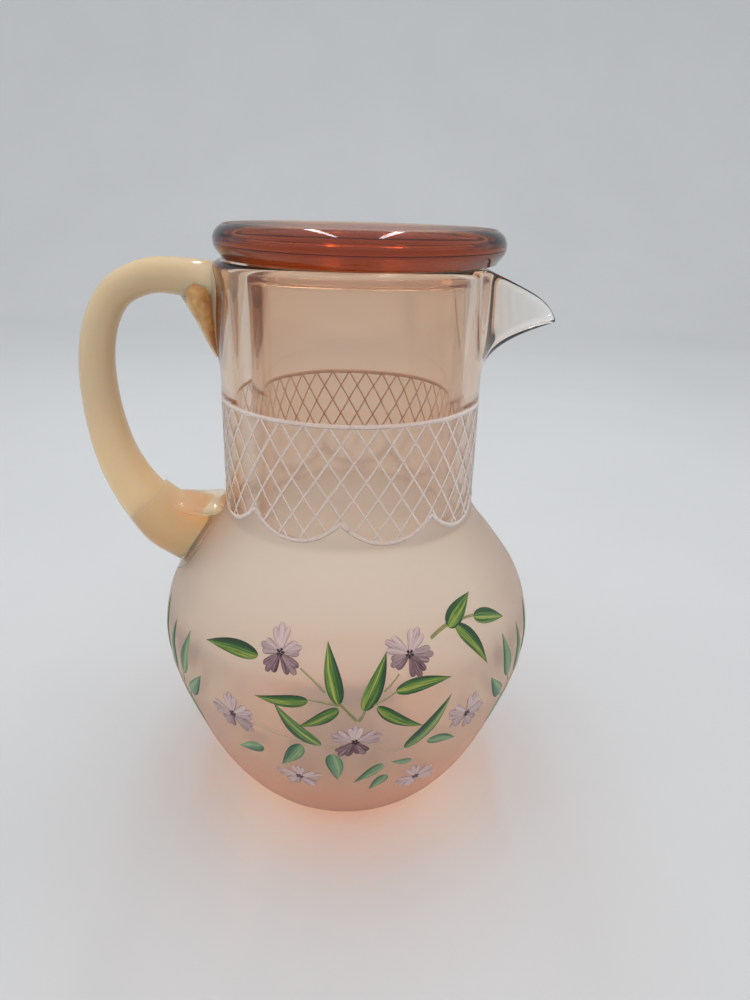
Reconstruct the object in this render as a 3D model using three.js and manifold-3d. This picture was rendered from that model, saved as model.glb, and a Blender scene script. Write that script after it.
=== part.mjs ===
// Covered water jug: a blown glass jug with an applied opal handle, and the tumbler that is its lid.
// The tumbler hangs mouth down in the neck, and its thick disc foot rests on the jug's rim.
// Millimetres, +Z up. The origin is the centre of the jug's base, the spout points along +X and
// the handle along -X.

import * as THREE from "three";
import { mergeVertices } from "three/addons/utils/BufferGeometryUtils.js";
import Module from "manifold-3d";

const wasm = await Module();
wasm.setup();

// ---- driving dimensions -------------------------------------------------------------------------

const TOTAL_HEIGHT = 180; // base to the top of the tumbler's foot
const FOOT_HEIGHT = 9.3; // thickness of the tumbler's disc foot
const CONTACT_GAP = 0.3; // left between pieces that touch
const RIM_HEIGHT = TOTAL_HEIGHT - FOOT_HEIGHT - CONTACT_GAP;

const BASE_RADIUS = 26; // flat that the jug stands on
const BELLY_RADIUS = 58.7;
const SHOULDER_HEIGHT = 98; // where the belly meets the neck
const NECK_RADIUS = 38.2;
const RIM_RADIUS = 39;
const BASE_THICKNESS = 6;
const BELLY_WALL = 3.4;
const NECK_WALL = 4;

const SPOUT_REACH = 21.8; // how far the lip is pulled out from the neck
const SPOUT_DROP = 15.4; // how far the tip hangs below the rim
const SPOUT_ROOT = 137; // height where the neck starts to swell towards the spout
const SPOUT_HALF_ANGLE = THREE.MathUtils.degToRad(11.5); // spread of the pull round the neck

const TUMBLER_OFFSET = 2; // the tumbler sits a little towards the spout
const FOOT_RADIUS = 40.7;
const FOOT_UNDERSIDE_RADIUS = 38.6;
const FOOT_SHOULDER = 4.4; // rounding of the foot's upper edge
const CUP_LENGTH = 75; // from the foot's underside to the tumbler's mouth
const CUP_TOP_RADIUS = 31.8;
const CUP_MOUTH_RADIUS = 31;
const CUP_TOP_WALL = 4.4;
const CUP_MOUTH_WALL = 2.2;

const JUG_SEGMENTS = 72;
const SPOUT_CROWDING = 0.5; // how much closer together the jug's facets are at the spout
const TUMBLER_SEGMENTS = 64;

// ---- helpers ------------------------------------------------------------------------------------

const vec2 = (radius, height) => new THREE.Vector2(radius, height);
const vec3 = (x, z) => new THREE.Vector3(x, 0, z);

// Points along a quarter or half round, from one angle to another, as a lathe profile needs them.
function arc(centreRadius, centreHeight, radius, fromDegrees, toDegrees, steps) {
  const points = [];
  for (let i = 0; i <= steps; i += 1) {
    const angle = THREE.MathUtils.degToRad(fromDegrees + ((toDegrees - fromDegrees) * i) / steps);
    points.push(vec2(centreRadius + radius * Math.cos(angle), centreHeight + radius * Math.sin(angle)));
  }
  return points;
}

// A profile turned round the Z axis. LatheGeometry turns it round Y, so the result is stood up.
function lathe(profile, segments) {
  return new THREE.LatheGeometry(profile, segments).rotateX(Math.PI / 2);
}

function toManifold(geometry) {
  const bare = geometry.clone();
  bare.deleteAttribute("normal");
  bare.deleteAttribute("uv");
  const merged = mergeVertices(bare, 1e-4);
  const vertProperties = new Float32Array(merged.getAttribute("position").array);
  const triVerts = new Uint32Array(merged.getIndex().array);
  return new wasm.Manifold(new wasm.Mesh({ numProp: 3, vertProperties, triVerts }));
}

function toGeometry(solid) {
  const result = solid.getMesh();
  const geometry = new THREE.BufferGeometry();
  geometry.setAttribute("position", new THREE.BufferAttribute(result.vertProperties, 3));
  geometry.setIndex(new THREE.BufferAttribute(result.triVerts, 1));
  geometry.computeVertexNormals();
  return geometry;
}

// ---- jug ----------------------------------------------------------------------------------------

// The outside of the belly, from the base flat up to the neck.
const BELLY_OUTLINE = new THREE.SplineCurve([
  vec2(BASE_RADIUS, 0),
  vec2(33.6, 3),
  vec2(40.1, 10),
  vec2(46.3, 20),
  vec2(51.5, 32),
  vec2(56.3, 46),
  vec2(BELLY_RADIUS, 60),
  vec2(55.7, 74),
  vec2(47.9, 86),
  vec2(42.2, 93),
  vec2(NECK_RADIUS + 0.3, SHOULDER_HEIGHT),
]);

// The inside of the belly, from the neck down to the floor of the jug.
const BELLY_INSIDE = new THREE.SplineCurve([
  vec2(NECK_RADIUS - NECK_WALL, SHOULDER_HEIGHT),
  vec2(38.2, 92.6),
  vec2(45.3, 84),
  vec2(52.2, 73),
  vec2(BELLY_RADIUS - BELLY_WALL, 60),
  vec2(52.9, 46.6),
  vec2(48.1, 33.4),
  vec2(42.6, 22),
  vec2(35.8, 12.6),
  vec2(27, BASE_THICKNESS + 1.2),
  vec2(15, BASE_THICKNESS),
]);

// The neck and its fire-polished rim, from the shoulder up, over and down to the shoulder again.
function neckOutline() {
  const rimRadius = NECK_WALL / 2;
  const rimCentre = RIM_RADIUS - rimRadius;
  const rimSide = RIM_HEIGHT - rimRadius;
  const insideRadius = NECK_RADIUS - NECK_WALL;
  const heights = [108, 124, SPOUT_ROOT, 144, 150, 155, 160, 164.5];
  const flare = (height) => {
    const t = THREE.MathUtils.smoothstep(height, SPOUT_ROOT, rimSide);
    return t * (RIM_RADIUS - NECK_RADIUS);
  };
  const outside = heights.map((height) => vec2(NECK_RADIUS + flare(height), height));
  const inside = heights.map((height) => vec2(insideRadius + flare(height), height)).reverse();
  return [...outside, ...arc(rimCentre, rimSide, rimRadius, 0, 180, 6), ...inside];
}

// Pulls the lip out into the spout: every point near +X leans out and down, more the higher it is.
// The columns of facets are first drawn together round +X, where the spout needs them.
function pullSpout(geometry) {
  const position = geometry.getAttribute("position");
  for (let i = 0; i < position.count; i += 1) {
    const radius = Math.hypot(position.getX(i), position.getY(i));
    const evenAngle = Math.atan2(position.getY(i), position.getX(i));
    const angle = evenAngle - SPOUT_CROWDING * Math.sin(evenAngle);
    const height = position.getZ(i);
    const rise = Math.max(0, (height - SPOUT_ROOT) / (RIM_HEIGHT - SPOUT_ROOT));
    const spread = Math.exp(-((angle / SPOUT_HALF_ANGLE) ** 2));
    const reach = SPOUT_REACH * spread * (0.1 * rise + 0.9 * rise ** 2.6);
    const droop = 0.7 * spread + 0.3 * spread ** 7; // steepest at the tip
    const drop = SPOUT_DROP * droop * rise ** 1.15;
    const pulled = radius + reach;
    position.setXYZ(i, pulled * Math.cos(angle), pulled * Math.sin(angle), height - drop);
  }
  geometry.computeVertexNormals();
  return geometry;
}

function jugVesselGeometry() {
  const profile = [
    vec2(0, 0),
    ...BELLY_OUTLINE.getPoints(18),
    ...neckOutline(),
    ...BELLY_INSIDE.getPoints(11),
    vec2(0, BASE_THICKNESS),
  ];
  return pullSpout(lathe(profile, JUG_SEGMENTS));
}

// The jug as one solid plug, a contact gap larger than the jug: what the handle is fitted against.
function jugPlug() {
  const grown = (point) => vec2(point.x + CONTACT_GAP, point.y);
  const profile = [
    vec2(0, -1),
    ...BELLY_OUTLINE.getPoints(18).map(grown),
    vec2(NECK_RADIUS + CONTACT_GAP, SPOUT_ROOT),
    vec2(RIM_RADIUS + CONTACT_GAP, RIM_HEIGHT - NECK_WALL / 2),
    vec2(RIM_RADIUS + CONTACT_GAP, TOTAL_HEIGHT),
    vec2(0, TOTAL_HEIGHT),
  ];
  return toManifold(lathe(profile, JUG_SEGMENTS));
}

// ---- handle -------------------------------------------------------------------------------------

// A round rod bent along a curve in the plane of the handle. sizes lists [depth, width] half sizes,
// evenly spaced along the curve; depth lies in the plane of the handle and width across it.
function bentRod(points, sizes, sides, steps) {
  const curve = new THREE.CatmullRomCurve3(points, false, "centripetal");
  const rod = new THREE.CylinderGeometry(1, 1, 1, sides, steps);
  const depths = new THREE.SplineCurve(sizes.map(([depth], i) => vec2(i, depth)));
  const widths = new THREE.SplineCurve(sizes.map(([, width], i) => vec2(i, width)));
  const position = rod.getAttribute("position");
  const centre = new THREE.Vector3();
  const along = new THREE.Vector3();
  for (let i = 0; i < position.count; i += 1) {
    const t = THREE.MathUtils.clamp(0.5 - position.getY(i), 0, 1);
    curve.getPoint(t, centre);
    curve.getTangent(t, along);
    const depth = depths.getPoint(t).y * position.getX(i);
    const width = widths.getPoint(t).y * position.getZ(i);
    position.setXYZ(i, centre.x + along.z * depth, width, centre.z - along.x * depth);
  }
  return toManifold(rod);
}

// The rope of glass, from the rim round to the shoulder. It thickens towards the lower join.
function handleRope() {
  const route = [
    vec3(-33, 163.4),
    vec3(-42, 164.6),
    vec3(-56.4, 165.2),
    vec3(-65.2, 161.8),
    vec3(-70.2, 156.2),
    vec3(-73.4, 148),
    vec3(-74.8, 137.4),
    vec3(-74.1, 124.6),
    vec3(-71.6, 112.6),
    vec3(-67.3, 102.7),
    vec3(-61.4, 94.6),
    vec3(-52, 88),
    vec3(-42, 84),
  ];
  const thicknesses = [6, 5.5, 5, 4.8, 4.8, 5, 5.3, 5.7, 6.3, 7.1, 8.1, 8.8, 8.6];
  return bentRod(route, thicknesses.map((half) => [half, half]), 16, 40);
}

// The upper join: a wedge of glass drawn down the neck under the rope to a point.
function upperWedge() {
  const route = [vec3(-38, 167), vec3(-40, 161), vec3(-40, 154), vec3(-38.8, 148), vec3(-37.6, 142)];
  const sizes = [
    [3.5, 10],
    [8.4, 12],
    [5.6, 9],
    [2.9, 5],
    [0.6, 1],
  ];
  return bentRod(route, sizes, 16, 12);
}

// The lower join: a tongue pressed onto the shoulder, with a tail drawn up against the neck.
function lowerTongue() {
  const route = [vec3(-56, 84), vec3(-51, 89), vec3(-46, 93), vec3(-40, 95.4), vec3(-34, 96)];
  const sizes = [
    [6, 7],
    [7.2, 10.5],
    [6, 10.5],
    [3.6, 8],
    [2, 5],
  ];
  return bentRod(route, sizes, 16, 12);
}

function handleGeometry() {
  const blank = handleRope().add(upperWedge()).add(lowerTongue());
  return toGeometry(blank.subtract(jugPlug()));
}

// ---- tumbler ------------------------------------------------------------------------------------

function tumblerGeometry() {
  const underside = RIM_HEIGHT + CONTACT_GAP;
  const mouth = underside - CUP_LENGTH;
  const lipRadius = CUP_MOUTH_WALL / 2;
  const fillet = 2;
  const cavityTop = underside - 1.2;
  const corner = 5;
  const cavityTopRadius = CUP_TOP_RADIUS - CUP_TOP_WALL;
  const profile = [
    vec2(0, cavityTop),
    ...arc(cavityTopRadius - corner, cavityTop - corner, corner, 90, 0, 4),
    ...arc(CUP_MOUTH_RADIUS - lipRadius, mouth + lipRadius, lipRadius, 180, 360, 4),
    ...arc(CUP_TOP_RADIUS + fillet, underside - fillet, fillet, 180, 90, 3),
    ...arc(FOOT_UNDERSIDE_RADIUS - 1, underside + 1, 1, -90, -20, 2),
    ...arc(FOOT_RADIUS - FOOT_SHOULDER, TOTAL_HEIGHT - FOOT_SHOULDER, FOOT_SHOULDER, -10, 90, 6),
    vec2(0, TOTAL_HEIGHT),
  ];
  return lathe(profile, TUMBLER_SEGMENTS);
}

// ---- assembly -----------------------------------------------------------------------------------

const glass = (color, roughness, opacity) =>
  new THREE.MeshStandardMaterial({ color, roughness, metalness: 0, transparent: true, opacity });

const group = new THREE.Group();

function addPart(name, geometry, material) {
  const mesh = new THREE.Mesh(geometry, material);
  mesh.name = name;
  group.add(mesh);
  return mesh;
}

addPart("jug_vessel", jugVesselGeometry(), glass(0xe6c9b0, 0.35, 0.45));
addPart("handle", handleGeometry(), glass(0xe3c9a0, 0.15, 0.95));
const tumbler = addPart("tumbler", tumblerGeometry(), glass(0xb4552f, 0.05, 0.6));
tumbler.position.x = TUMBLER_OFFSET;

export default group;
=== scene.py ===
"""Looks for the covered water jug: blown glass, an opal handle, etched lattice and enamel flowers.

Everything is in metres, in the CAD frame: +Z up, spout along +X, handle along -X. An azimuth is in
degrees round the jug, 0 at -Y, where the painting is, and 90 at the spout.
"""

import math

import bpy
import numpy as np
from mathutils import Matrix, Vector


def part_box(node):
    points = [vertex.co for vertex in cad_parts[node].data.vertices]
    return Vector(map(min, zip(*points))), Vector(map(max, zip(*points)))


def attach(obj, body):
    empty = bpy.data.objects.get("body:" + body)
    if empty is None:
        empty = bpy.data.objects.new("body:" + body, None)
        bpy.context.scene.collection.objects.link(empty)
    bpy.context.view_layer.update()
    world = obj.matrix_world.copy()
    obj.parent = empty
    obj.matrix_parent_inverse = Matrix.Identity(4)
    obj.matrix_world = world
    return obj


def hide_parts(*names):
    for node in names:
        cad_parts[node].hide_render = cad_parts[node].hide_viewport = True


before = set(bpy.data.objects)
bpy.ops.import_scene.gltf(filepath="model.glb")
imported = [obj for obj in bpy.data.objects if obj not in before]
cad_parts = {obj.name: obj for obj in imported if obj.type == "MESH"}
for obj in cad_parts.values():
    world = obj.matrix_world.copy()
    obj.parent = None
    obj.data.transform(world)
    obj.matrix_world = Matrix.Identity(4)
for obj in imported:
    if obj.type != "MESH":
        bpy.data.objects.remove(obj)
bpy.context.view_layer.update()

MM = 0.001

# ---- driving sizes ------------------------------------------------------------------------------

JUG_COLUMNS = 240
TUMBLER_COLUMNS = 160
JUG_SPACING = 0.9 * MM
TUMBLER_SPACING = 1.0 * MM

SPOUT_REACH = 21.8 * MM
SPOUT_DROP = 15.4 * MM
SPOUT_ROOT = 137 * MM
SPOUT_HALF_ANGLE = math.radians(11.5)
SPOUT_CROWDING = 0.5

BAND_TOP = 132.7 * MM
SCALLOPS = 9
SCALLOP_CUSP = 106 * MM
SCALLOP_DEPTH = 6.2 * MM
FIRST_CUSP = -3.5  # azimuth of a cusp between two scallops
LINES_PER_SCALLOP = 4
LATTICE_SLOPE = 1.0  # degrees of turn for each millimetre down
LATTICE_WIDTH = 0.62 * MM
LATTICE_STEP = 0.8 * MM
BORDER_WIDTH = 1.25 * MM
BAND_HAZE = 0.4  # how satin the neck is behind the lattice, where 1 is as satin as the belly

ENAMEL_LIFT = 0.02 * MM
FIRST_LINES = 0.07 * MM  # how far the lattice's lines that turn one way stand out
CROSS_LINES = 0.08 * MM
BORDER_LINES = 0.1 * MM
STALK_THICKNESS = 0.1 * MM
PETAL_THICKNESS = 0.14 * MM
LEAF_THICKNESS = 0.22 * MM
EYE_THICKNESS = 0.3 * MM
SPRIG_AZIMUTH = 62  # a leafy sprig is painted on each side, this far round from the spray


# ---- outlines read from the frame ---------------------------------------------------------------

def outline_of(node, axis_x):
    """A round CAD node's outline, as (radius, height) rows in order, read from its facets at -X."""
    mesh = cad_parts[node].data
    tiny = 2e-6
    ring = {}
    for vertex in mesh.vertices:
        x, y, z = vertex.co
        if abs(y) < tiny and x < axis_x + tiny:
            ring[vertex.index] = (round((axis_x - x) / tiny) * tiny, round(z / tiny) * tiny)
    links = {point: set() for point in ring.values()}
    for edge in mesh.edges:
        a, b = edge.vertices
        if a in ring and b in ring and ring[a] != ring[b]:
            links[ring[a]].add(ring[b])
            links[ring[b]].add(ring[a])
    here = min((point for point in links if point[0] < tiny), key=lambda point: point[1])
    path = [here]
    while True:
        ahead = [point for point in links[here] if point not in path]
        if not ahead:
            return np.array(path)
        here = ahead[0]
        path.append(here)


def tangents(values, gaps):
    """Slopes of a curve through values that never overshoots them."""
    steps = np.diff(values) / gaps
    slopes = np.zeros(len(values))
    slopes[0] = steps[0]
    slopes[-1] = steps[-1]
    for i in range(1, len(values) - 1):
        if steps[i - 1] * steps[i] > 0:
            a = 2 * gaps[i] + gaps[i - 1]
            b = gaps[i] + 2 * gaps[i - 1]
            slopes[i] = (a + b) / (a / steps[i - 1] + b / steps[i])
    return slopes


def cubic(t, start, end, start_slope, end_slope):
    """A cubic that runs from start to end as t goes from 0 to 1."""
    first = (2 * t**3 - 3 * t**2 + 1) * start + (t**3 - 2 * t**2 + t) * start_slope
    return first + (3 * t**2 - 2 * t**3) * end + (t**3 - t**2) * end_slope


def refine(points, spacing):
    """The same outline as a smooth curve with points about this far apart."""
    gaps = np.hypot(*np.diff(points, axis=0).T)
    slopes = np.stack([tangents(points[:, k], gaps) for k in (0, 1)], axis=1)
    fine = [points[0]]
    for i, gap in enumerate(gaps):
        count = max(3, math.ceil(gap / spacing))
        for t in np.arange(1, count + 1) / count:
            fine.append(cubic(t, points[i], points[i + 1], gap * slopes[i], gap * slopes[i + 1]))
    return np.array(fine)


tumbler_low, tumbler_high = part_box("tumbler")
TUMBLER_AXIS = (tumbler_low[0] + tumbler_high[0]) / 2
JUG_OUTLINE = refine(outline_of("jug_vessel", 0), JUG_SPACING)
TUMBLER_OUTLINE = refine(outline_of("tumbler", TUMBLER_AXIS), TUMBLER_SPACING)
RIM_HEIGHT = JUG_OUTLINE[:, 1].max()
RIM_INDEX = int(JUG_OUTLINE[:, 1].argmax())
NECK_RADIUS = 38.2 * MM

# The outside of the jug from the base flat to the rim, with the length measured along it.
OUTSIDE = JUG_OUTLINE[: RIM_INDEX + 1]
OUTSIDE = OUTSIDE[np.concatenate([[True], np.diff(OUTSIDE[:, 1]) > 1e-7])]
OUTSIDE_LENGTH = np.concatenate([[0], np.cumsum(np.hypot(*np.diff(OUTSIDE, axis=0).T))])


def outer_radius(height):
    return np.interp(height, OUTSIDE[:, 1], OUTSIDE[:, 0])


def length_at(height):
    return np.interp(height, OUTSIDE[:, 1], OUTSIDE_LENGTH)


def on_glass(azimuth, length, lift):
    """A point above the jug's outside, from its azimuth and how far it lies up the outline."""
    radius = np.interp(length, OUTSIDE_LENGTH, OUTSIDE[:, 0])
    height = np.interp(length, OUTSIDE_LENGTH, OUTSIDE[:, 1])
    step = 0.5 * MM
    slope_r = np.interp(length + step, OUTSIDE_LENGTH, OUTSIDE[:, 0]) - radius
    slope_z = np.interp(length + step, OUTSIDE_LENGTH, OUTSIDE[:, 1]) - height
    scale = lift / math.hypot(slope_r, slope_z)
    angle = math.radians(azimuth)
    lifted = radius + slope_z * scale
    return (lifted * math.sin(angle), -lifted * math.cos(angle), height - slope_r * scale)


# ---- meshes -------------------------------------------------------------------------------------

def add_piece(name, vertices, faces, material, body):
    """A smooth piece with one material, which moves with its body."""
    mesh = bpy.data.meshes.new(name)
    mesh.from_pydata([tuple(v) for v in vertices], [], faces)
    mesh.update()
    mesh.shade_smooth()
    mesh.materials.append(material)
    piece = bpy.data.objects.new(name, mesh)
    bpy.context.scene.collection.objects.link(piece)
    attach(piece, body)
    return piece


def store(piece, name, values):
    """Keeps one number for each vertex, for the piece's material to read."""
    attribute = piece.data.attributes.new(name, "FLOAT", "POINT")
    attribute.data.foreach_set("value", np.asarray(values, dtype=np.float32))


def turned(outline, angles):
    """Vertices and faces of an outline turned round Z. Its two ends lie on the axis."""
    count = len(angles)
    inner = outline[1:-1]
    vertices = [(0, 0, outline[0, 1])]
    for radius, height in inner:
        for angle in angles:
            vertices.append((radius * math.cos(angle), radius * math.sin(angle), height))
    vertices.append((0, 0, outline[-1, 1]))
    faces = []
    last = len(vertices) - 1
    for j in range(count):
        k = (j + 1) % count
        faces.append((0, 1 + k, 1 + j))
        for i in range(len(inner) - 1):
            low = 1 + i * count
            high = low + count
            faces.append((low + j, low + k, high + k, high + j))
        top = 1 + (len(inner) - 1) * count
        faces.append((top + j, top + k, last))
    return np.array(vertices), faces


def scallop_edge(azimuth):
    """Height of the etched band's lower edge."""
    u = ((azimuth - FIRST_CUSP) / (360 / SCALLOPS)) % 1 * 2 - 1
    return SCALLOP_CUSP - SCALLOP_DEPTH * (1 - np.abs(u) ** 2.2)


def pull_spout(vertices):
    """Leans the lip out and down near +X, as the jug's maker pulled it."""
    x, y, z = vertices.T
    radius = np.hypot(x, y)
    angle = np.arctan2(y, x)
    rise = np.clip((z - SPOUT_ROOT) / (RIM_HEIGHT - SPOUT_ROOT), 0, None)
    spread = np.exp(-((angle / SPOUT_HALF_ANGLE) ** 2))
    pulled = radius + SPOUT_REACH * spread * (0.1 * rise + 0.9 * rise**2.6)
    droop = 0.7 * spread + 0.3 * spread**7
    lowered = z - SPOUT_DROP * droop * rise**1.15
    return np.stack([pulled * np.cos(angle), pulled * np.sin(angle), lowered], axis=1)


def make_jug(material):
    """The jug's body, with how satin each point of its outside is."""
    even = np.arange(JUG_COLUMNS) * 2 * math.pi / JUG_COLUMNS
    angles = even - SPOUT_CROWDING * np.sin(even)
    vertices, faces = turned(JUG_OUTLINE, angles)
    azimuths = np.degrees(np.arctan2(vertices[:, 0], -vertices[:, 1]))
    outside = np.ones(len(vertices))
    outside[1 + RIM_INDEX * JUG_COLUMNS :] = 0
    heights = vertices[:, 2]
    below_band = heights < scallop_edge(azimuths)
    in_band = (heights < BAND_TOP) & ~below_band
    frost = outside * (below_band + BAND_HAZE * in_band)
    jug = add_piece("jug_glass", pull_spout(vertices), faces, material, "jug")
    store(jug, "frost", frost)
    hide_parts("jug_vessel")


def make_tumbler(material):
    angles = np.arange(TUMBLER_COLUMNS) * 2 * math.pi / TUMBLER_COLUMNS
    vertices, faces = turned(TUMBLER_OUTLINE, angles)
    vertices[:, 0] += TUMBLER_AXIS
    tumbler = add_piece("tumbler_glass", vertices, faces, material, "tumbler")
    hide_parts("tumbler")


# ---- handle -------------------------------------------------------------------------------------

def curve_through(points, count):
    """A smooth open curve through these rows, as evenly numbered rows."""
    points = np.array(points, dtype=float)
    padded = np.vstack([2 * points[0] - points[1], points, 2 * points[-1] - points[-2]])
    rows = []
    for t in np.linspace(0, len(points) - 1, count):
        i = min(int(t), len(points) - 2)
        u = t - i
        p0, p1, p2, p3 = padded[i : i + 4]
        slope = p2 - p0
        bend = 2 * p0 - 5 * p1 + 4 * p2 - p3
        twist = 3 * p1 - p0 - 3 * p2 + p3
        rows.append(0.5 * (2 * p1 + slope * u + bend * u**2 + twist * u**3))
    return np.array(rows)


def bent_rod(route, sides, steps):
    """A rod along a route in the XZ plane. Each row is x, z, half depth and half width, in millimetres."""
    rows = curve_through(route, steps) * MM
    along = np.gradient(rows[:, :2], axis=0)
    along /= np.linalg.norm(along, axis=1)[:, None]
    vertices = []
    for (x, z, depth, width), (ax, az) in zip(rows, along):
        for k in range(sides):
            turn = 2 * math.pi * k / sides
            out = depth * math.cos(turn)
            vertices.append((x + az * out, width * math.sin(turn), z - ax * out))
    faces = []
    for i in range(steps - 1):
        for k in range(sides):
            m = (k + 1) % sides
            faces.append((i * sides + k, i * sides + m, (i + 1) * sides + m, (i + 1) * sides + k))
    faces.append(tuple(reversed(range(sides))))
    faces.append(tuple(range((steps - 1) * sides, steps * sides)))
    return np.array(vertices), faces


def wrap_round_neck(vertices):
    """Bends a rod's width round the neck."""
    radius = -vertices[:, 0]
    turn = vertices[:, 1] / NECK_RADIUS
    return np.stack([-radius * np.cos(turn), radius * np.sin(turn), vertices[:, 2]], axis=1)


def settle_on_jug(vertices, gap):
    """Moves what would lie inside the jug out onto its surface, as hot glass is pressed onto it."""
    radius = np.hypot(vertices[:, 0], vertices[:, 1])
    least = outer_radius(np.clip(vertices[:, 2], 0, RIM_HEIGHT)) + gap
    grow = np.where(radius < least, least / np.maximum(radius, 1e-6), 1)
    vertices[:, :2] *= grow[:, None]
    return vertices


# Routes in the XZ plane: x, z, half depth and half width, in millimetres.
ROPE = [
    (-37.5, 163.6, 5.8, 9.0),
    (-41.5, 164.0, 5.7, 7.4),
    (-47.0, 164.9, 5.3, 5.7),
    (-56.4, 165.2, 5.0, 5.0),
    (-65.2, 161.8, 4.8, 4.8),
    (-70.2, 156.2, 4.8, 4.8),
    (-73.4, 148.0, 5.0, 5.0),
    (-74.8, 137.4, 5.3, 5.3),
    (-74.1, 124.6, 5.7, 5.7),
    (-71.6, 112.6, 6.3, 6.3),
    (-67.3, 102.7, 7.1, 7.1),
    (-61.4, 94.6, 8.1, 8.1),
    (-53.5, 88.8, 8.6, 8.8),
    (-47.0, 85.6, 8.2, 9.0),
]

OPAL_THREAD = [
    (-47.6, 160.6, 1.6, 2.2),
    (-46.0, 156.5, 1.0, 1.2),
    (-43.6, 151.5, 0.8, 0.8),
    (-41.4, 146.8, 0.7, 0.7),
    (-39.3, 142.6, 0.5, 0.5),
]

UPPER_WEDGE = [
    (-41.8, 163.0, 4.2, 7.5),
    (-42.6, 160.0, 4.7, 8.5),
    (-42.0, 157.0, 4.3, 8.5),
    (-41.0, 152.5, 3.2, 6.5),
    (-39.8, 147.5, 1.9, 4.0),
    (-38.6, 142.5, 0.5, 1.2),
]

UPPER_PAD = [
    (-38.8, 168.6, 0.5, 11.0),
    (-39.0, 164.5, 0.9, 14.0),
    (-39.0, 158.0, 0.9, 12.5),
    (-38.8, 151.0, 0.7, 8.5),
    (-38.6, 145.0, 0.5, 5.0),
    (-38.4, 139.0, 0.2, 1.5),
]

LOWER_CASING = [
    (-63.5, 97.6, 7.2, 7.2),
    (-58.0, 91.7, 8.5, 8.5),
    (-53.5, 88.7, 8.9, 9.2),
    (-48.5, 86.0, 9.2, 10.0),
    (-44.0, 84.2, 9.0, 10.8),
]

LOWER_TONGUE = [
    (-60.0, 98.6, 0.8, 3.0),
    (-54.0, 97.2, 1.7, 5.5),
    (-48.0, 96.2, 2.4, 7.5),
    (-42.0, 96.6, 2.2, 8.5),
    (-39.4, 97.4, 1.2, 7.0),
]


ROPE_SIDES = 40
ROPE_STEPS = 160
THREAD_SIDES = 20
THREAD_STEPS = 50
END_SIDES = 48
END_STEPS = 70
ROPE_FOOT_GAP = 1.5 * MM  # room for the casing between the rope's foot and the shoulder
ROPE_TOP_GAP = 0.15 * MM
END_GAP = 0.06 * MM


def make_handle(opal, amber, casing):
    """The opal rope and thread, and the glass pressed round the rope's two ends."""
    vertices, faces = bent_rod(ROPE, ROPE_SIDES, ROPE_STEPS)
    gap = np.where(vertices[:, 2] < SPOUT_ROOT, ROPE_FOOT_GAP, ROPE_TOP_GAP)
    rope = add_piece("handle_rope", settle_on_jug(vertices, gap), faces, opal, "jug")
    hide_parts("handle")
    vertices, faces = bent_rod(OPAL_THREAD, THREAD_SIDES, THREAD_STEPS)
    add_piece("handle_opal_thread", vertices, faces, opal, "jug")
    added = (
        ("handle_upper_wedge", UPPER_WEDGE, amber),
        ("handle_upper_pad", UPPER_PAD, casing),
        ("handle_lower_casing", LOWER_CASING, casing),
        ("handle_lower_tongue", LOWER_TONGUE, casing),
    )
    for name, route, glass in added:
        vertices, faces = bent_rod(route, END_SIDES, END_STEPS)
        vertices = settle_on_jug(wrap_round_neck(vertices), END_GAP)
        add_piece(name, vertices, faces, glass, "jug")


# ---- etched band --------------------------------------------------------------------------------

def ribbon(path, width, thickness):
    """A flat line of the band's etching along a path of (azimuth, height) rows."""
    vertices = []
    for i, (azimuth, height) in enumerate(path):
        before = path[max(i - 1, 0)]
        after = path[min(i + 1, len(path) - 1)]
        across = math.radians(after[0] - before[0]) * outer_radius(height)
        up = after[1] - before[1]
        size = math.hypot(across, up)
        side_azimuth = math.degrees(up / size * width / 2 / outer_radius(height))
        side_length = -across / size * width / 2
        length = length_at(height)
        for sign, lift in ((-1, ENAMEL_LIFT), (-1, thickness), (1, thickness), (1, ENAMEL_LIFT)):
            vertices.append(on_glass(azimuth + sign * side_azimuth, length + sign * side_length, lift))
    faces = [(0, 1, 2, 3)]
    for i in range(len(path) - 1):
        for k in range(4):
            m = (k + 1) % 4
            faces.append((4 * i + m, 4 * i + k, 4 * i + 4 + k, 4 * i + 4 + m))
    end = 4 * (len(path) - 1)
    faces.append((end + 3, end + 2, end + 1, end))
    return vertices, faces


def lattice_line(start, direction):
    """A lattice line from the band's top down to the scallops, turning one way."""
    path = []
    height = BAND_TOP
    while True:
        azimuth = start + direction * LATTICE_SLOPE * (BAND_TOP - height) / MM
        if height < scallop_edge(azimuth):
            return path
        path.append((azimuth, height))
        height -= LATTICE_STEP


def joined(parts):
    """Several (vertices, faces) as one."""
    vertices = []
    faces = []
    for part_vertices, part_faces in parts:
        first = len(vertices)
        vertices.extend(part_vertices)
        faces.extend(tuple(first + i for i in face) for face in part_faces)
    return vertices, faces


def make_lattice(material):
    """Crossing lines between a top border and the scallops."""
    lines = []
    spacing = 360 / (SCALLOPS * LINES_PER_SCALLOP)
    for k in range(SCALLOPS * LINES_PER_SCALLOP):
        start = FIRST_CUSP + (k + 0.5) * spacing
        lines.append(ribbon(lattice_line(start, 1), LATTICE_WIDTH, FIRST_LINES))
        lines.append(ribbon(lattice_line(start, -1), LATTICE_WIDTH, CROSS_LINES))
    turn = np.arange(0, 360.1, 1)
    lines.append(ribbon([(a, BAND_TOP) for a in turn], BORDER_WIDTH, BORDER_LINES))
    lines.append(ribbon([(a, scallop_edge(a)) for a in turn], BORDER_WIDTH, BORDER_LINES))
    vertices, faces = joined(lines)
    add_piece("etched_lattice", vertices, faces, material, "jug")


# ---- enamel painting ----------------------------------------------------------------------------

STROKE_ROWS = 22
STROKE_COLUMNS = 8
STROKE_LEAST = 0.02 * MM  # half the width of a stroke's very tip


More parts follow.
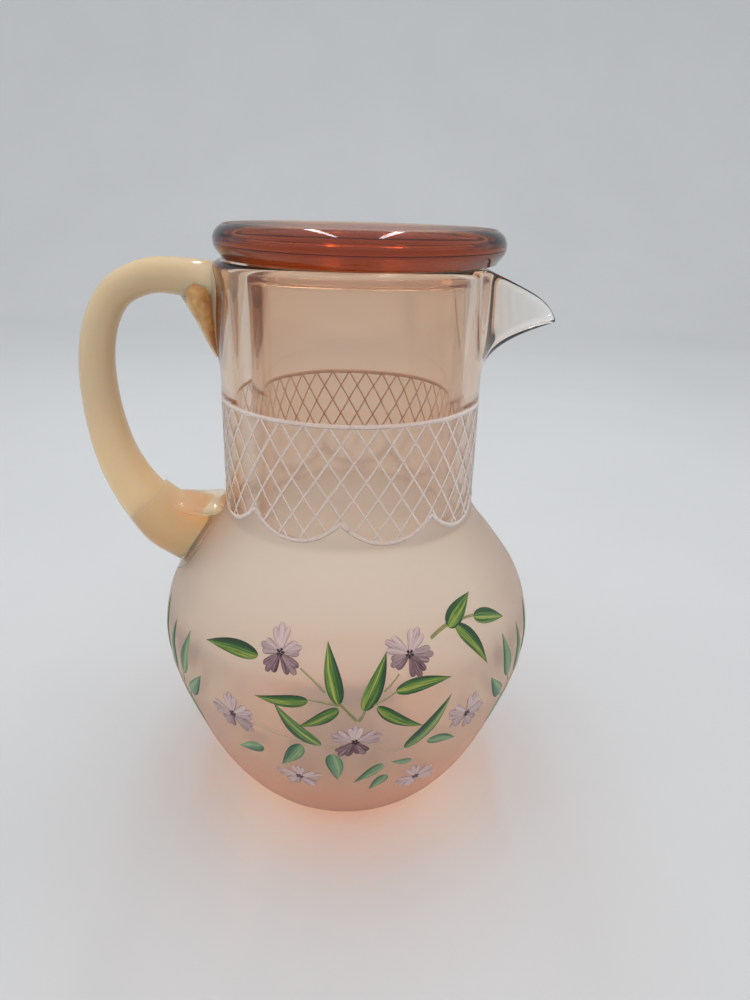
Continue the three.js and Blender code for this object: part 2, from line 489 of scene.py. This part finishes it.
class Painting:
    """Brush strokes of enamel that lie on the jug, gathered into one mesh for each kind of paint."""

    def __init__(self):
        self.vertices = []
        self.faces = []
        self.along = []
        self.across = []
        self.variety = []
        self.tone = []

    def stroke(self, start, end, width, shape, bend, tone, thickness, turn=0):
        """One stroke from start to end, each (azimuth, height). shape gives its half width along it."""
        middle = (start[0] + end[0]) / 2
        length0, length1 = length_at(start[1]), length_at(end[1])
        x0 = math.radians(start[0] - middle) * outer_radius(start[1])
        x1 = math.radians(end[0] - middle) * outer_radius(end[1])
        dx, dy = x1 - x0, length1 - length0
        size = math.hypot(dx, dy)
        first = len(self.vertices)
        variety = (first * 0.137) % 7
        for side in (1, 0):
            for i in range(STROKE_ROWS + 1):
                t = 0.5 - 0.5 * math.cos(math.pi * i / STROKE_ROWS)
                half = width / 2 * shape(t) + STROKE_LEAST
                sway = bend * math.sin(math.pi * t)
                for j in range(STROKE_COLUMNS + 1):
                    v = 2 * j / STROKE_COLUMNS - 1
                    x = x0 + dx * t - dy / size * (half * v + sway)
                    y = length0 + dy * t + dx / size * (half * v + sway)
                    crown = math.sqrt(max(0, 1 - v * v)) * min(1, 6 * t, 6 * (1 - t))
                    lift = ENAMEL_LIFT + side * thickness * crown
                    radius = np.interp(y, OUTSIDE_LENGTH, OUTSIDE[:, 0])
                    self.vertices.append(on_glass(turn + middle + math.degrees(x / radius), y, lift))
                    self.along.append(t)
                    self.across.append(v)
                    self.variety.append(variety)
                    self.tone.append(tone)
        row = STROKE_COLUMNS + 1
        under = first + (STROKE_ROWS + 1) * row
        for i in range(STROKE_ROWS):
            for j in range(STROKE_COLUMNS):
                a = i * row + j
                quad = (a, a + 1, a + 1 + row, a + row)
                self.faces.append(tuple(first + k for k in reversed(quad)))
                self.faces.append(tuple(under + k for k in quad))
        rim = list(range(row))
        rim += [i * row + STROKE_COLUMNS for i in range(1, STROKE_ROWS + 1)]
        rim += [STROKE_ROWS * row + j for j in range(STROKE_COLUMNS - 1, -1, -1)]
        rim += [i * row for i in range(STROKE_ROWS - 1, 0, -1)]
        for a, b in zip(rim, rim[1:] + rim[:1]):
            self.faces.append((first + a, first + b, under + b, under + a))

    def piece(self, name, material):
        """Makes the piece, with each point's place in its stroke for the material to read."""
        made = add_piece(name, self.vertices, self.faces, material, "jug")
        for key in ("along", "across", "variety", "tone"):
            store(made, key, getattr(self, key))


def leaf_shape(t):
    """Rounded at the stalk, long and pointed at the tip."""
    return 2.9 * t**0.55 * (1 - t) ** 1.15


def petal_shape(t):
    """Narrow at the flower's centre, broad and rounded at the end."""
    return (0.28 + 0.72 * t**0.8) * math.sqrt(max(0, 1 - t**5))


def stalk_shape(t):
    """A little thicker at its far end."""
    return 0.75 + 0.25 * t


# Each leaf: azimuth and height of its stalk end, the same of its tip, width, bend and paleness.
LEAVES = [
    (-25, 73, -44, 71.5, 4.6, -0.9, 0),
    (-2, 63, -5.5, 79, 4.6, 0.3, 0),
    (4.5, 61, 11, 76.5, 4.6, -0.4, 0),
    (-10, 63.5, -25, 62, 3.8, 0.5, 0),
    (-2, 61.7, -13, 54.5, 3.8, 0.5, 0),
    (13, 66, 29.5, 66.5, 4.2, 0.7, 0),
    (8, 62, 21.5, 53, 3.8, -0.9, 0),
    (-7, 48, -19.5, 61.5, 4.6, 0.9, 0.15),
    (17, 45, 29.5, 61.5, 4.8, -0.5, 0.25),
    (-25, 42.5, -35, 38, 4.4, 0.2, 0.8),
    (-12.5, 47.5, -20, 36, 4.6, 0.3, 0.6),
    (-4, 44.5, -2.5, 31.5, 4.8, 0.3, 0.75),
    (11, 39, 2.5, 30, 3.8, 0.2, 0.7),
    (13, 33, 8, 25.5, 3.8, 0.1, 0.7),
    (20.5, 38, 13.5, 39.5, 2.6, 0.2, 0.9),
    (24, 46, 35, 42, 3.8, 0.5, 0.7),
    (31, 79, 44, 84.5, 5.4, 0.3, 0),
    (41.5, 79, 55, 74.5, 4.6, 0.5, 0.1),
    (34, 79, 43, 65.5, 4.6, 0.6, 0),
]

# The leaves and stalks of a side sprig, in the same way, with azimuths from the sprig's middle.
SPRIG_LEAVES = [
    (-6, 55, -10, 71, 4.8, 0.6, 0.6),
    (1, 52, 0, 70, 4.6, -0.5, 0.5),
    (8, 54, 13, 72, 4.6, 0.5, 0.4),
    (-8, 49, -17, 60, 4.4, 0.5, 0.7),
    (-3, 47, -9, 37, 4.6, 0.3, 0.9),
    (6, 47, 12, 36, 4.4, 0.3, 0.8),
]

SPRIG_STALKS = [
    (-6, 55, -0.5, 43, 0.7, 0.2),
    (1, 52, 0, 40, 0.8, 0.2),
    (8, 54, 0.5, 43, 0.7, 0.2),
    (-8, 49, -0.5, 42, 0.6, 0.3),
    (-3, 47, 0, 41, 0.5, 0.4),
    (6, 47, 0.5, 41, 0.5, 0.4),
]

# Each flower: azimuth and height of its centre, size, the turn of its petals and paleness.
FLOWERS = [
    (-18.6, 75, 6.8, 6, 0.1),
    (17.5, 75, 7.0, -22, 0),
    (2.5, 50, 7.2, -4, 0),
    (-33, 52.6, 7.4, 12, 0.5),
    (36.2, 51.7, 7.2, -14, 0.6),
    (-14.8, 31.7, 6.4, 4, 0.8),
    (24.5, 28, 6.8, 24, 0.9),
]

# Each stalk: azimuth and height of its two ends, width and paleness.
STALKS = [
    (-2, 63.5, 2.8, 57.5, 0.9, 0.1),
    (4.8, 61.2, 3.2, 57.5, 0.9, 0.1),
    (-12.5, 72, -5.6, 66.2, 0.6, 0.3),
    (14, 70.5, 9.8, 66.2, 0.6, 0.3),
    (-10, 63.8, -1.8, 62.6, 0.6, 0.2),
    (13, 65.8, 6.4, 62.4, 0.6, 0.2),
    (24.5, 77.6, 31, 79.6, 1.2, 0),
    (36.5, 79.6, 41.8, 79.2, 0.9, 0.1),
    (-1.5, 47.6, -7, 47.9, 0.5, 0.6),
    (-7, 47.9, -15.5, 49.8, 0.5, 0.8),
    (-15.5, 49.8, -26, 52.4, 0.5, 0.9),
    (7.5, 45.4, 16.5, 44.8, 0.5, 0.8),
]

PETALS = 5
STROKES_PER_PETAL = 3
STROKE_FAN = 17  # degrees between a petal's strokes
EYE_DABS = 5


def paint_leaf(painting, leaf, turn=0, side=1):
    azimuth, height, tip_azimuth, tip_height, width, bend, tone = leaf
    start = (side * azimuth, height * MM)
    end = (side * tip_azimuth, tip_height * MM)
    painting.stroke(start, end, width * MM, leaf_shape, side * bend * MM, tone, LEAF_THICKNESS, turn)


def paint_stalk(painting, stalk, turn=0, side=1):
    azimuth, height, far_azimuth, far_height, width, tone = stalk
    start = (side * azimuth, height * MM)
    end = (side * far_azimuth, far_height * MM)
    painting.stroke(start, end, width * MM, stalk_shape, 0.2 * MM, tone, STALK_THICKNESS, turn)


def beside(azimuth, height, angle, distance):
    """A point this far from another on the belly, in a direction given in degrees from level."""
    slope = (length_at(height + 0.5 * MM) - length_at(height - 0.5 * MM)) / MM
    up = distance * math.sin(math.radians(angle)) / slope
    across = distance * math.cos(math.radians(angle))
    return (azimuth + math.degrees(across / outer_radius(height + up)), height + up)


def paint_flower(petals, centres, flower):
    """Five petals of three strokes, the lower ones darker, round a dark eye."""
    azimuth, height_mm, size, spin, pale = flower
    height = height_mm * MM
    for k in range(PETALS):
        angle = 90 + spin + 360 * k / PETALS + 7 * math.sin(3 * k + azimuth)
        reach = size * (1.0 + 0.12 * math.cos(2.3 * k + azimuth)) * MM
        dark = (0.5 - 0.6 * math.sin(math.radians(angle))) * (1 - pale)
        for s in range(STROKES_PER_PETAL):
            lean = (s - (STROKES_PER_PETAL - 1) / 2) * STROKE_FAN
            length = reach * (1 - 0.13 * abs(lean) / STROKE_FAN)
            start = beside(azimuth, height, angle + lean, 0.6 * MM)
            end = beside(azimuth, height, angle + lean, length)
            tone = dark + 0.15 * math.sin(5 * k + 2 * s)
            thickness = PETAL_THICKNESS + 0.03 * s * MM
            petals.stroke(start, end, 0.36 * size * MM, petal_shape, 0, tone, thickness)
    for k in range(EYE_DABS):
        angle = 360 * k / EYE_DABS + spin
        start = beside(azimuth, height, angle, 0.15 * MM)
        end = beside(azimuth, height, angle, 1.25 * MM)
        centres.stroke(start, end, 0.9 * MM, petal_shape, 0, pale, EYE_THICKNESS)


def make_painting(leaf, petal, stalk, eye):
    """The spray on the front and a leafy sprig on each side."""
    leaves, petals, stalks, centres = Painting(), Painting(), Painting(), Painting()
    for row in LEAVES:
        paint_leaf(leaves, row)
    for side in (-1, 1):
        for row in SPRIG_LEAVES:
            paint_leaf(leaves, row, side * SPRIG_AZIMUTH, side)
        for row in SPRIG_STALKS:
            paint_stalk(stalks, row, side * SPRIG_AZIMUTH, side)
    for row in STALKS:
        paint_stalk(stalks, row)
    for flower in FLOWERS:
        paint_flower(petals, centres, flower)
    leaves.piece("enamel_leaves", leaf)
    petals.piece("enamel_petals", petal)
    stalks.piece("enamel_stalks", stalk)
    centres.piece("enamel_flower_centres", eye)


# ---- materials ----------------------------------------------------------------------------------

class Shader:
    """A material's nodes, with short calls to add and join them."""

    def __init__(self, name):
        self.material = bpy.data.materials.new(name)
        self.material.use_nodes = True
        self.tree = self.material.node_tree
        self.tree.nodes.clear()
        self.output = self.add("ShaderNodeOutputMaterial")

    def add(self, kind, inputs=None, **settings):
        node = self.tree.nodes.new(kind)
        for key, value in settings.items():
            setattr(node, key, value)
        for key, value in (inputs or {}).items():
            if isinstance(value, bpy.types.NodeSocket):
                self.tree.links.new(value, node.inputs[key])
            else:
                node.inputs[key].default_value = value
        return node

    def math(self, operation, *values):
        inputs = dict(enumerate(values))
        return self.add("ShaderNodeMath", inputs, operation=operation).outputs[0]

    def attribute(self, name):
        return self.add("ShaderNodeAttribute", attribute_name=name).outputs["Fac"]

    def noise(self, vector, scale, detail=3.0, roughness=0.55):
        inputs = {"Vector": vector, "Scale": scale, "Detail": detail, "Roughness": roughness}
        return self.add("ShaderNodeTexNoise", inputs).outputs["Fac"]

    def place(self):
        return self.add("ShaderNodeTexCoord").outputs["Object"]

    def vector(self, x, y, z):
        return self.add("ShaderNodeCombineXYZ", {"X": x, "Y": y, "Z": z}).outputs[0]

    def ramp(self, factor, stops):
        node = self.add("ShaderNodeValToRGB", {"Fac": factor})
        elements = node.color_ramp.elements
        while len(elements) < len(stops):
            elements.new(0.5)
        for element, (position, colour) in zip(elements, stops):
            element.position = position
            element.color = (*colour, 1)
        return node.outputs["Color"]

    def mix(self, factor, a, b, blend="MIX"):
        node = self.add("ShaderNodeMix", data_type="RGBA", blend_type=blend)
        for socket, value in ((node.inputs[0], factor), (node.inputs[6], a), (node.inputs[7], b)):
            if isinstance(value, bpy.types.NodeSocket):
                self.tree.links.new(value, socket)
            elif isinstance(value, tuple):
                socket.default_value = (*value, 1)
            else:
                socket.default_value = value
        return node.outputs[2]

    def bump(self, height, strength, distance):
        inputs = {"Height": height, "Strength": strength, "Distance": distance}
        return self.add("ShaderNodeBump", inputs).outputs["Normal"]

    def surface(self, shader):
        self.tree.links.new(shader, self.output.inputs["Surface"])

    def volume(self, absorbed):
        """Tints the glass by depth. absorbed is how much of each colour is lost for each metre."""
        density = 1.25 * max(absorbed)
        colour = [1 - amount / density for amount in absorbed]
        node = self.add("ShaderNodeVolumeAbsorption", {"Color": (*colour, 1), "Density": density})
        self.tree.links.new(node.outputs[0], self.output.inputs["Volume"])

    def lets_lamps_through(self, surface, tint):
        """Glass that casts a soft tinted shadow instead of a black one."""
        clear = self.add("ShaderNodeBsdfTransparent", {"Color": (*tint, 1)})
        shadow_ray = self.add("ShaderNodeLightPath").outputs["Is Shadow Ray"]
        inputs = {0: shadow_ray, 1: surface, 2: clear.outputs[0]}
        return self.add("ShaderNodeMixShader", inputs).outputs[0]


def jug_glass():
    """Champagne glass, satin and peach where it was frosted."""
    shader = Shader("jug_champagne_glass")
    place = shader.place()
    frost = shader.attribute("frost")
    height = shader.add("ShaderNodeSeparateXYZ", {0: place}).outputs["Z"]
    clouds = shader.noise(place, 38, 3)
    level = shader.math("ADD", height, shader.math("MULTIPLY", shader.math("SUBTRACT", clouds, 0.5), 0.02))
    rosy = shader.ramp(shader.math("DIVIDE", level, RIM_HEIGHT), [
        (0.0, (0.95, 0.72, 0.56)),
        (0.12, (0.96, 0.80, 0.65)),
        (0.30, (0.97, 0.90, 0.77)),
        (0.46, (0.98, 0.95, 0.86)),
        (0.60, (0.98, 0.96, 0.88)),
    ])
    tint = shader.mix(frost, (1.0, 1.0, 1.0), rosy)
    grain = shader.noise(place, 900, 2)
    satin = shader.math("MULTIPLY_ADD", grain, 0.12, 0.38)
    roughness = shader.math("MULTIPLY", frost, satin)
    waves = shader.noise(place, 24, 2)
    relief = shader.math("MULTIPLY_ADD", shader.math("MULTIPLY", grain, frost), 0.12, waves)
    normal = shader.bump(relief, 0.05, 0.004)
    glass = shader.add("ShaderNodeBsdfPrincipled", {
        "Base Color": tint,
        "Roughness": roughness,
        "IOR": 1.5,
        "Transmission Weight": shader.math("MULTIPLY_ADD", frost, -0.24, 1.0),
        "Normal": normal,
    })
    shader.surface(shader.lets_lamps_through(glass.outputs[0], (0.96, 0.94, 0.92)))
    shader.volume((1.0, 25, 48))
    return shader.material


def tumbler_glass():
    """Rose-amber glass, worn on the flat of its foot."""
    shader = Shader("tumbler_rose_amber_glass")
    place = shader.place()
    waves = shader.noise(place, 30, 2)
    height = shader.add("ShaderNodeSeparateXYZ", {0: place}).outputs["Z"]
    worn = shader.math("GREATER_THAN", height, tumbler_high[2] - 0.3 * MM)
    scuffs = shader.math("MULTIPLY_ADD", shader.noise(place, 300, 3), 0.16, 0.26)
    glass = shader.add("ShaderNodeBsdfPrincipled", {
        "Base Color": (1, 1, 1, 1),
        "Roughness": shader.math("MULTIPLY", worn, scuffs),
        "IOR": 1.5,
        "Transmission Weight": 1.0,
        "Normal": shader.bump(waves, 0.05, 0.004),
    })
    shader.surface(shader.lets_lamps_through(glass.outputs[0], (0.90, 0.78, 0.72)))
    shader.volume((11, 37, 62))
    return shader.material


def opal_glass():
    """Cloudy cream glass, more amber towards its foot."""
    shader = Shader("handle_opal_glass")
    place = shader.place()
    height = shader.add("ShaderNodeSeparateXYZ", {0: place}).outputs["Z"]
    swirl = shader.noise(place, 60, 4)
    level = shader.math("ADD", height, shader.math("MULTIPLY", shader.math("SUBTRACT", swirl, 0.5), 0.03))
    cream = shader.ramp(shader.math("DIVIDE", level, RIM_HEIGHT), [
        (0.48, (0.90, 0.66, 0.36)),
        (0.60, (0.84, 0.64, 0.38)),
        (0.80, (0.68, 0.53, 0.35)),
        (0.97, (0.65, 0.51, 0.32)),
    ])
    glass = shader.add("ShaderNodeBsdfPrincipled", {
        "Base Color": cream,
        "Roughness": 0.06,
        "IOR": 1.5,
        "Subsurface Weight": 1.0,
        "Subsurface Radius": (1.0, 0.7, 0.4),
        "Subsurface Scale": 0.006,
        "Normal": shader.bump(shader.noise(place, 70, 2), 0.06, 0.002),
    })
    shader.surface(glass.outputs[0])
    return shader.material


def amber_glass():
    """The thick wedge under the handle, faceted where it was pinched."""
    shader = Shader("handle_amber_glass")
    place = shader.place()
    facets = shader.add("ShaderNodeTexVoronoi", {"Vector": place, "Scale": 420.0}).outputs["Distance"]
    clouds = shader.noise(place, 130, 3)
    amber = shader.ramp(clouds, [(0.38, (0.55, 0.20, 0.04)), (0.62, (0.98, 0.62, 0.24))])
    glass = shader.add("ShaderNodeBsdfPrincipled", {
        "Base Color": amber,
        "Roughness": 0.05,
        "IOR": 1.5,
        "Transmission Weight": 0.35,
        "Normal": shader.bump(facets, 0.35, 0.0008),
    })
    shader.surface(shader.lets_lamps_through(glass.outputs[0], (0.85, 0.66, 0.42)))
    shader.volume((4, 15, 40))
    return shader.material


def casing_glass():
    """The clear glass over the handle's ends, crimped by the maker's pincers."""
    shader = Shader("handle_clear_casing")
    place = shader.place()
    crimps = shader.noise(place, 240, 3, 0.6)
    clouds = shader.noise(place, 60, 2)
    straw = shader.ramp(clouds, [(0.35, (0.96, 0.86, 0.68)), (0.6, (1.0, 0.95, 0.84))])
    glass = shader.add("ShaderNodeBsdfPrincipled", {
        "Base Color": straw,
        "Roughness": 0.03,
        "IOR": 1.4,
        "Transmission Weight": 0.85,
        "Normal": shader.bump(crimps, 0.25, 0.0008),
    })
    shader.surface(shader.lets_lamps_through(glass.outputs[0], (0.96, 0.88, 0.74)))
    shader.volume((1, 6, 20))
    return shader.material


def etching():
    """Pale, half see-through frost."""
    shader = Shader("etched_lines")
    speckle = shader.noise(shader.place(), 1400, 2)
    colour = shader.ramp(speckle, [(0.3, (0.90, 0.76, 0.68)), (0.7, (1.0, 0.90, 0.84))])
    paint = shader.add("ShaderNodeBsdfPrincipled", {
        "Base Color": colour,
        "Roughness": 0.6,
        "Transmission Weight": 0.45,
        "IOR": 1.3,
    })
    shader.surface(paint.outputs[0])
    return shader.material


def brushed(shader, lengthwise, crosswise):
    """Streaks that run along each brush stroke."""
    along = shader.math("MULTIPLY", shader.attribute("along"), lengthwise)
    across = shader.math("MULTIPLY", shader.attribute("across"), crosswise)
    return shader.noise(shader.vector(along, across, shader.attribute("variety")), 1, 4, 0.6)


def enamel(shader, colour, streaks, roughness):
    """Opaque paint with its brush marks in relief."""
    paint = shader.add("ShaderNodeBsdfPrincipled", {
        "Base Color": colour,
        "Roughness": roughness,
        "Normal": shader.bump(streaks, 0.4, 0.00012),
    })
    shader.surface(paint.outputs[0])
    return shader.material


def leaf_enamel():
    shader = Shader("enamel_leaf_green")
    streaks = brushed(shader, 1.2, 4.5)
    shift = shader.math("MULTIPLY_ADD", shader.attribute("variety"), 0.15, -0.5)
    side = shader.math("ABSOLUTE", shader.math("ADD", shader.attribute("across"), shift))
    light = shader.math("SUBTRACT", streaks, shader.math("MULTIPLY", shader.math("POWER", side, 1.6), 0.34))
    green = shader.ramp(light, [
        (0.10, (0.006, 0.034, 0.010)),
        (0.30, (0.018, 0.090, 0.016)),
        (0.44, (0.090, 0.200, 0.024)),
        (0.60, (0.440, 0.440, 0.080)),
    ])
    tip = shader.math("SMOOTH_MAX", shader.math("SUBTRACT", shader.attribute("along"), 0.86), 0.0, 0.02)
    browned = shader.mix(shader.math("MULTIPLY", tip, 5.0), green, (0.13, 0.06, 0.035))
    pale = shader.ramp(light, [(0.2, (0.055, 0.170, 0.090)), (0.6, (0.260, 0.420, 0.260))])
    colour = shader.mix(shader.attribute("tone"), browned, pale)
    return enamel(shader, colour, streaks, 0.38)


def petal_enamel():
    shader = Shader("enamel_petal_lilac")
    streaks = brushed(shader, 1.2, 4.6)
    side = shader.math("ABSOLUTE", shader.attribute("across"))
    lilac = shader.ramp(streaks, [
        (0.32, (0.26, 0.13, 0.15)),
        (0.42, (0.55, 0.39, 0.38)),
        (0.60, (0.72, 0.55, 0.52)),
    ])
    purple = shader.ramp(streaks, [
        (0.36, (0.035, 0.010, 0.020)),
        (0.50, (0.130, 0.050, 0.065)),
        (0.64, (0.420, 0.260, 0.270)),
    ])
    colour = shader.mix(shader.attribute("tone"), lilac, purple)
    outline = shader.math("MULTIPLY", shader.math("POWER", side, 4.0), 0.8)
    colour = shader.mix(outline, colour, (0.10, 0.035, 0.055))
    return enamel(shader, colour, streaks, 0.45)


def stalk_enamel():
    shader = Shader("enamel_stalk_olive")
    streaks = brushed(shader, 2.0, 1.5)
    olive = shader.ramp(streaks, [(0.3, (0.10, 0.11, 0.03)), (0.65, (0.34, 0.32, 0.12))])
    colour = shader.mix(shader.attribute("tone"), olive, (0.50, 0.42, 0.28))
    return enamel(shader, colour, streaks, 0.45)


def eye_enamel():
    shader = Shader("enamel_eye_maroon")
    streaks = brushed(shader, 2.0, 2.0)
    dark = shader.ramp(streaks, [(0.3, (0.006, 0.002, 0.004)), (0.7, (0.06, 0.02, 0.03))])
    colour = shader.mix(shader.math("MULTIPLY", shader.attribute("tone"), 0.5), dark, (0.25, 0.13, 0.17))
    return enamel(shader, colour, streaks, 0.4)


# ---- setting ------------------------------------------------------------------------------------

FLOOR_FRONT = -2.0
BEND_START = 0.9
BEND_RADIUS = 0.8
BEND_STEPS = 24
BACKDROP_HEIGHT = 3.0
BACKDROP_HALF_WIDTH = 3.0

BAR_PLACES = (("left_lamp_bar", -0.13), ("right_lamp_bar", 0.11))
BAR_BACK = 0.2
BAR_HEIGHT = 0.72
BAR_SIZE = (0.03, 0.8)
BAR_POWER = 0.9
ROOF_PLACE = (0, 0.1, 1.6)
ROOF_SIZE = (1.8, 1.8)
ROOF_POWER = 2
WALL_COLOUR = (0.97, 0.985, 1.0, 1)
WALL_STRENGTH = 0.82

CAMERA_DISTANCE = 222.2 * MM
CAMERA_HEIGHT = 186 * MM
CAMERA_PITCH = math.radians(21.63)
CAMERA_YAW = math.radians(2.1)
CAMERA_ROLL = math.radians(1.6)
CAMERA_LENS = 27.04
SENSOR_WIDTH = 36

GLASS_BOUNCES = 32


def make_backdrop():
    """A pale floor that curves up behind the jug, so that no horizon shows."""
    shader = Shader("backdrop_paper")
    fibres = shader.noise(shader.place(), 6, 5)
    tone = shader.ramp(fibres, [(0.3, (0.62, 0.63, 0.64)), (0.7, (0.645, 0.655, 0.665))])
    paper = shader.add("ShaderNodeBsdfPrincipled", {"Base Color": tone, "Roughness": 0.9})
    shader.surface(paper.outputs[0])
    profile = [(FLOOR_FRONT, 0.0)]
    for k in range(BEND_STEPS + 1):
        angle = math.pi / 2 * k / BEND_STEPS
        rise = BEND_RADIUS - BEND_RADIUS * math.cos(angle)
        profile.append((BEND_START + BEND_RADIUS * math.sin(angle), rise))
    profile.append((BEND_START + BEND_RADIUS, BACKDROP_HEIGHT))
    vertices = [(x, y, z) for y, z in profile for x in (-BACKDROP_HALF_WIDTH, BACKDROP_HALF_WIDTH)]
    faces = [(2 * i, 2 * i + 1, 2 * i + 3, 2 * i + 2) for i in range(len(profile) - 1)]
    mesh = bpy.data.meshes.new("backdrop")
    mesh.from_pydata(vertices, [], faces)
    mesh.shade_smooth()
    mesh.materials.append(shader.material)
    backdrop = bpy.data.objects.new("backdrop", mesh)
    bpy.context.scene.collection.objects.link(backdrop)


def add_lamp(name, place, target, size, power):
    """A rectangular lamp that faces a target. Its first size runs along Y when it hangs overhead."""
    light = bpy.data.lights.new(name, "AREA")
    light.shape = "RECTANGLE"
    light.size, light.size_y = size
    light.energy = power
    lamp = bpy.data.objects.new(name, light)
    lamp.location = place
    towards = Vector(place) - Vector(target)
    lamp.rotation_euler = towards.to_track_quat("Z", "Y").to_euler()
    bpy.context.scene.collection.objects.link(lamp)


def make_lights():
    """The two lamp bars in the roof of a light tent, its glowing roof, and its pale walls."""
    for name, x in BAR_PLACES:
        add_lamp(name, (x, BAR_BACK, BAR_HEIGHT), (x, BAR_BACK, 0), BAR_SIZE, BAR_POWER)
    add_lamp("tent_roof", ROOF_PLACE, (0, 0, 0), ROOF_SIZE, ROOF_POWER)
    world = bpy.data.worlds.new("studio")
    world.use_nodes = True
    walls = world.node_tree.nodes["Background"]
    walls.inputs["Color"].default_value = WALL_COLOUR
    walls.inputs["Strength"].default_value = WALL_STRENGTH
    bpy.context.scene.world = world


def make_camera():
    """Just above the rim and close, looking down: the photograph's view."""
    ahead = math.cos(CAMERA_PITCH)
    down = math.sin(CAMERA_PITCH)
    forward = Vector((math.sin(CAMERA_YAW) * ahead, math.cos(CAMERA_YAW) * ahead, -down))
    level_right = Vector((math.cos(CAMERA_YAW), -math.sin(CAMERA_YAW), 0))
    level_up = level_right.cross(forward)
    right = level_right * math.cos(CAMERA_ROLL) + level_up * math.sin(CAMERA_ROLL)
    up = level_up * math.cos(CAMERA_ROLL) - level_right * math.sin(CAMERA_ROLL)
    data = bpy.data.cameras.new("camera")
    data.lens = CAMERA_LENS
    data.sensor_width = SENSOR_WIDTH
    data.clip_start = 0.01
    camera = bpy.data.objects.new("camera", data)
    matrix = Matrix((right, up, -forward)).transposed().to_4x4()
    matrix.translation = (0, -CAMERA_DISTANCE, CAMERA_HEIGHT)
    camera.matrix_world = matrix
    bpy.context.scene.collection.objects.link(camera)
    bpy.context.scene.camera = camera


def settle_renderer():
    """Plain colours, and enough bounces for light to cross four glass walls."""
    scene = bpy.context.scene
    scene.view_settings.view_transform = "Standard"
    scene.cycles.max_bounces = GLASS_BOUNCES
    scene.cycles.transmission_bounces = GLASS_BOUNCES
    scene.cycles.transparent_max_bounces = GLASS_BOUNCES
    scene.cycles.volume_bounces = 4


make_camera()
make_backdrop()
make_lights()
settle_renderer()
make_jug(jug_glass())
make_tumbler(tumbler_glass())
make_handle(opal_glass(), amber_glass(), casing_glass())
make_lattice(etching())
make_painting(leaf_enamel(), petal_enamel(), stalk_enamel(), eye_enamel())
